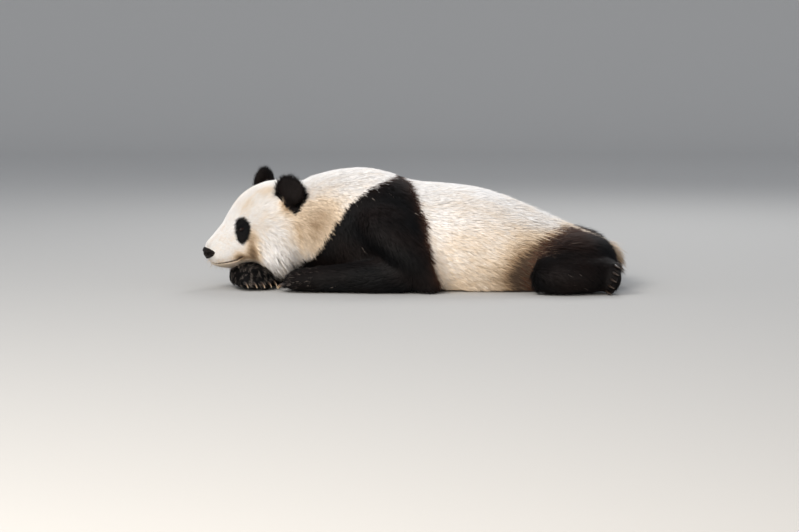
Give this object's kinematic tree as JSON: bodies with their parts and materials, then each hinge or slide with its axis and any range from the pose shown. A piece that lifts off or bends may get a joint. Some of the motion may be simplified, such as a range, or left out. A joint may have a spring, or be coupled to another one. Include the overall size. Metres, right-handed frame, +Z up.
{
  "type": "giant panda",
  "caption": "Life-size giant panda at rest on its belly, chin on its folded right forepaw, left foreleg along the floor, hind legs splayed beside a low rump.",
  "frame": {"origin": "on the floor, under the middle of the animal's bounding box", "axes": "-X towards the nose and +X towards the rump, -Y to the panda's left and +Y to its right, +Z up from the floor"},
  "size_m": [1.5, 0.791, 0.4267],
  "materials": {
    "white_coat": "dense cream-white bear fur, matt, dirtier towards the belly",
    "black_coat": "dense brown-black bear fur, soft sheen",
    "nose_leather": "moist pebbled bare skin",
    "eye": "wet, dark brown, glossy",
    "claw": "worn horn, pale towards the tip"
  },
  "bodies": {
    "root": {"head": "white_coat", "neck": "white_coat", "trunk": "white_coat", "tail": "white_coat", "ear_left": "black_coat", "upper_foreleg_left": "black_coat", "forearm_left": "black_coat", "forepaw_left": "black_coat", "thigh_left": "black_coat", "shank_left": "black_coat", "hindfoot_left": "black_coat", "ear_right": "black_coat", "upper_foreleg_right": "black_coat", "forearm_right": "black_coat", "forepaw_right": "black_coat", "thigh_right": "black_coat", "shank_right": "black_coat", "hindfoot_right": "black_coat", "nose": "nose_leather", "eye_left": "eye", "eye_right": "eye", "claw_fore_left_1": "claw", "claw_fore_left_2": "claw", "claw_fore_left_3": "claw", "claw_fore_left_4": "claw", "claw_fore_left_5": "claw", "claw_hind_left_1": "claw", "claw_hind_left_2": "claw", "claw_hind_left_3": "claw", "claw_hind_left_4": "claw", "claw_hind_left_5": "claw", "claw_fore_right_1": "claw", "claw_fore_right_2": "claw", "claw_fore_right_3": "claw", "claw_fore_right_4": "claw", "claw_fore_right_5": "claw", "claw_hind_right_1": "claw", "claw_hind_right_2": "claw", "claw_hind_right_3": "claw", "claw_hind_right_4": "claw", "claw_hind_right_5": "claw"}
  },
  "joints": []
}
